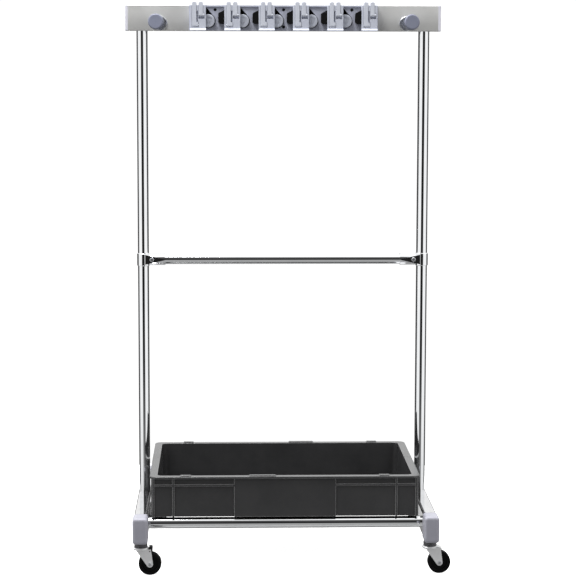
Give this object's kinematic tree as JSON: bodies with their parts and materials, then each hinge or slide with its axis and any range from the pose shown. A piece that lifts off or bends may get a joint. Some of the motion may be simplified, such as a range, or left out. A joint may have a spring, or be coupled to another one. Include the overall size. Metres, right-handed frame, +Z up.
{
  "type": "mop and broom rack cart",
  "caption": "Wheeled floor rack: chromed frame on swivel casters with a lift-off tray, a crossbar, two pegs and a gripping tool holder with fold-down hooks.",
  "frame": {"origin": "on the floor, midway between the two feet and level with the posts", "axes": "+Z up, +X along the beam to the right, front towards -Y"},
  "size_m": [0.718, 0.57, 1.251],
  "materials": {
    "chrome_tube": "polished",
    "polished_foot": "polished",
    "satin_beam": "satin",
    "foot_cap_plastic": "satin",
    "beam_cap_plastic": "satin",
    "zinc_hardware": "satin",
    "black_screw": "satin",
    "black_caster_head": "satin",
    "peg_cap_plastic": "satin",
    "holder_plastic": "satin",
    "housing_plastic": "satin",
    "black_rubber": "matte",
    "guide_plastic": "matte",
    "zinc_fork": "satin",
    "wheel_rubber": "matte",
    "brake_plastic": "satin",
    "hook_plastic": "satin",
    "roller_rubber": "matte",
    "tray_plastic": "matte"
  },
  "bodies": {
    "frame": {"left_foot_tube": "polished_foot", "right_foot_tube": "polished_foot", "foot_end_caps": "foot_cap_plastic", "left_post": "chrome_tube", "right_post": "chrome_tube", "front_rail": "chrome_tube", "rear_rail": "chrome_tube", "tube_plugs": "zinc_hardware", "post_bolts": "zinc_hardware", "rail_bolts": "zinc_hardware", "top_beam": "satin_beam", "beam_end_caps": "beam_cap_plastic", "crossbar": "chrome_tube", "left_clamp_front_half": "chrome_tube", "left_clamp_rear_half": "chrome_tube", "right_clamp_front_half": "chrome_tube", "right_clamp_rear_half": "chrome_tube", "clamp_screws": "zinc_hardware", "caster_stems": "black_caster_head", "left_peg": "zinc_hardware", "right_peg": "zinc_hardware", "peg_caps": "peg_cap_plastic", "holder_body": "holder_plastic", "roller_guides": "guide_plastic", "holder_screws": "black_screw", "hook_housings": "housing_plastic", "hook_pins": "zinc_hardware", "grip_pads": "black_rubber"},
    "front_left_swivel": {"front_left_caster_fork": "zinc_fork", "front_left_caster_axle": "zinc_hardware"},
    "front_left_wheel": {"front_left_caster_wheel": "wheel_rubber"},
    "front_left_brake": {"front_left_brake_pedal": "brake_plastic"},
    "front_right_swivel": {"front_right_caster_fork": "zinc_fork", "front_right_caster_axle": "zinc_hardware"},
    "front_right_wheel": {"front_right_caster_wheel": "wheel_rubber"},
    "rear_left_swivel": {"rear_left_caster_fork": "zinc_fork", "rear_left_caster_axle": "zinc_hardware"},
    "rear_left_wheel": {"rear_left_caster_wheel": "wheel_rubber"},
    "rear_right_swivel": {"rear_right_caster_fork": "zinc_fork", "rear_right_caster_axle": "zinc_hardware"},
    "rear_right_wheel": {"rear_right_caster_wheel": "wheel_rubber"},
    "rear_right_brake": {"rear_right_brake_pedal": "brake_plastic"},
    "long_hook_1": {"long_hook_1": "hook_plastic"},
    "short_hook_1": {"short_hook_1": "hook_plastic"},
    "long_hook_2": {"long_hook_2": "hook_plastic"},
    "short_hook_2": {"short_hook_2": "hook_plastic"},
    "long_hook_3": {"long_hook_3": "hook_plastic"},
    "short_hook_3": {"short_hook_3": "hook_plastic"},
    "long_hook_4": {"long_hook_4": "hook_plastic"},
    "short_hook_4": {"short_hook_4": "hook_plastic"},
    "long_hook_5": {"long_hook_5": "hook_plastic"},
    "short_hook_5": {"short_hook_5": "hook_plastic"},
    "long_hook_6": {"long_hook_6": "hook_plastic"},
    "short_hook_6": {"short_hook_6": "hook_plastic"},
    "grip_roller_1": {"grip_roller_1": "roller_rubber"},
    "grip_roller_2": {"grip_roller_2": "roller_rubber"},
    "grip_roller_3": {"grip_roller_3": "roller_rubber"},
    "grip_roller_4": {"grip_roller_4": "roller_rubber"},
    "grip_roller_5": {"grip_roller_5": "roller_rubber"},
    "tray": {"tray": "tray_plastic"}
  },
  "joints": [
    {"name": "front_left_swivel", "type": "hinge", "parent": "frame", "child": "front_left_swivel", "pos_m": [-0.318, -0.243, 0.058], "axis": [0, 0, 1], "continuous": true},
    {"name": "front_left_wheel_spin", "type": "hinge", "parent": "front_left_swivel", "child": "front_left_wheel", "pos_m": [-0.298, -0.243, 0.025], "axis": [0, 1, 0], "continuous": true},
    {"name": "front_left_brake_press", "type": "hinge", "parent": "front_left_swivel", "child": "front_left_brake", "pos_m": [-0.298, -0.243, 0.054], "axis": [0, 1, 0], "range_deg": [0, 5]},
    {"name": "front_right_swivel", "type": "hinge", "parent": "frame", "child": "front_right_swivel", "pos_m": [0.318, -0.243, 0.058], "axis": [0, 0, 1], "continuous": true},
    {"name": "front_right_wheel_spin", "type": "hinge", "parent": "front_right_swivel", "child": "front_right_wheel", "pos_m": [0.338, -0.243, 0.025], "axis": [0, 1, 0], "continuous": true},
    {"name": "rear_left_swivel", "type": "hinge", "parent": "frame", "child": "rear_left_swivel", "pos_m": [-0.318, 0.243, 0.058], "axis": [0, 0, 1], "continuous": true},
    {"name": "rear_left_wheel_spin", "type": "hinge", "parent": "rear_left_swivel", "child": "rear_left_wheel", "pos_m": [-0.298, 0.243, 0.025], "axis": [0, 1, 0], "continuous": true},
    {"name": "rear_right_swivel", "type": "hinge", "parent": "frame", "child": "rear_right_swivel", "pos_m": [0.318, 0.243, 0.058], "axis": [0, 0, 1], "continuous": true},
    {"name": "rear_right_wheel_spin", "type": "hinge", "parent": "rear_right_swivel", "child": "rear_right_wheel", "pos_m": [0.338, 0.243, 0.025], "axis": [0, 1, 0], "continuous": true},
    {"name": "rear_right_brake_press", "type": "hinge", "parent": "rear_right_swivel", "child": "rear_right_brake", "pos_m": [0.338, 0.243, 0.054], "axis": [0, 1, 0], "range_deg": [0, 5]},
    {"name": "long_hook_1_fold", "type": "hinge", "parent": "frame", "child": "long_hook_1", "pos_m": [-0.1915, -0.0473, 1.199], "axis": [1, 0, 0], "range_deg": [0, 90]},
    {"name": "short_hook_1_fold", "type": "hinge", "parent": "frame", "child": "short_hook_1", "pos_m": [-0.1915, -0.0473, 1.222], "axis": [1, 0, 0], "range_deg": [0, 90]},
    {"name": "long_hook_2_fold", "type": "hinge", "parent": "frame", "child": "long_hook_2", "pos_m": [-0.1149, -0.0473, 1.199], "axis": [1, 0, 0], "range_deg": [0, 90]},
    {"name": "short_hook_2_fold", "type": "hinge", "parent": "frame", "child": "short_hook_2", "pos_m": [-0.1149, -0.0473, 1.222], "axis": [1, 0, 0], "range_deg": [0, 90]},
    {"name": "long_hook_3_fold", "type": "hinge", "parent": "frame", "child": "long_hook_3", "pos_m": [-0.0383, -0.0473, 1.199], "axis": [1, 0, 0], "range_deg": [0, 90]},
    {"name": "short_hook_3_fold", "type": "hinge", "parent": "frame", "child": "short_hook_3", "pos_m": [-0.0383, -0.0473, 1.222], "axis": [1, 0, 0], "range_deg": [0, 90]},
    {"name": "long_hook_4_fold", "type": "hinge", "parent": "frame", "child": "long_hook_4", "pos_m": [0.0383, -0.0473, 1.199], "axis": [1, 0, 0], "range_deg": [0, 90]},
    {"name": "short_hook_4_fold", "type": "hinge", "parent": "frame", "child": "short_hook_4", "pos_m": [0.0383, -0.0473, 1.222], "axis": [1, 0, 0], "range_deg": [0, 90]},
    {"name": "long_hook_5_fold", "type": "hinge", "parent": "frame", "child": "long_hook_5", "pos_m": [0.1149, -0.0473, 1.199], "axis": [1, 0, 0], "range_deg": [0, 90]},
    {"name": "short_hook_5_fold", "type": "hinge", "parent": "frame", "child": "short_hook_5", "pos_m": [0.1149, -0.0473, 1.222], "axis": [1, 0, 0], "range_deg": [0, 90]},
    {"name": "long_hook_6_fold", "type": "hinge", "parent": "frame", "child": "long_hook_6", "pos_m": [0.1915, -0.0473, 1.199], "axis": [1, 0, 0], "range_deg": [0, 90]},
    {"name": "short_hook_6_fold", "type": "hinge", "parent": "frame", "child": "short_hook_6", "pos_m": [0.1915, -0.0473, 1.222], "axis": [1, 0, 0], "range_deg": [0, 90]},
    {"name": "grip_roller_1_travel", "type": "slide", "parent": "frame", "child": "grip_roller_1", "axis": [-0.6561, 0, 0.7547], "range_m": [0, 0.0225]},
    {"name": "grip_roller_2_travel", "type": "slide", "parent": "frame", "child": "grip_roller_2", "axis": [-0.6561, 0, 0.7547], "range_m": [0, 0.0225]},
    {"name": "grip_roller_3_travel", "type": "slide", "parent": "frame", "child": "grip_roller_3", "axis": [-0.6561, 0, 0.7547], "range_m": [0, 0.0225]},
    {"name": "grip_roller_4_travel", "type": "slide", "parent": "frame", "child": "grip_roller_4", "axis": [-0.6561, 0, 0.7547], "range_m": [0, 0.0225]},
    {"name": "grip_roller_5_travel", "type": "slide", "parent": "frame", "child": "grip_roller_5", "axis": [-0.6561, 0, 0.7547], "range_m": [0, 0.0225]},
    {"name": "tray_lift_off", "type": "slide", "parent": "frame", "child": "tray", "axis": [0, 0, 1], "range_m": [0, 0.3]}
  ]
}
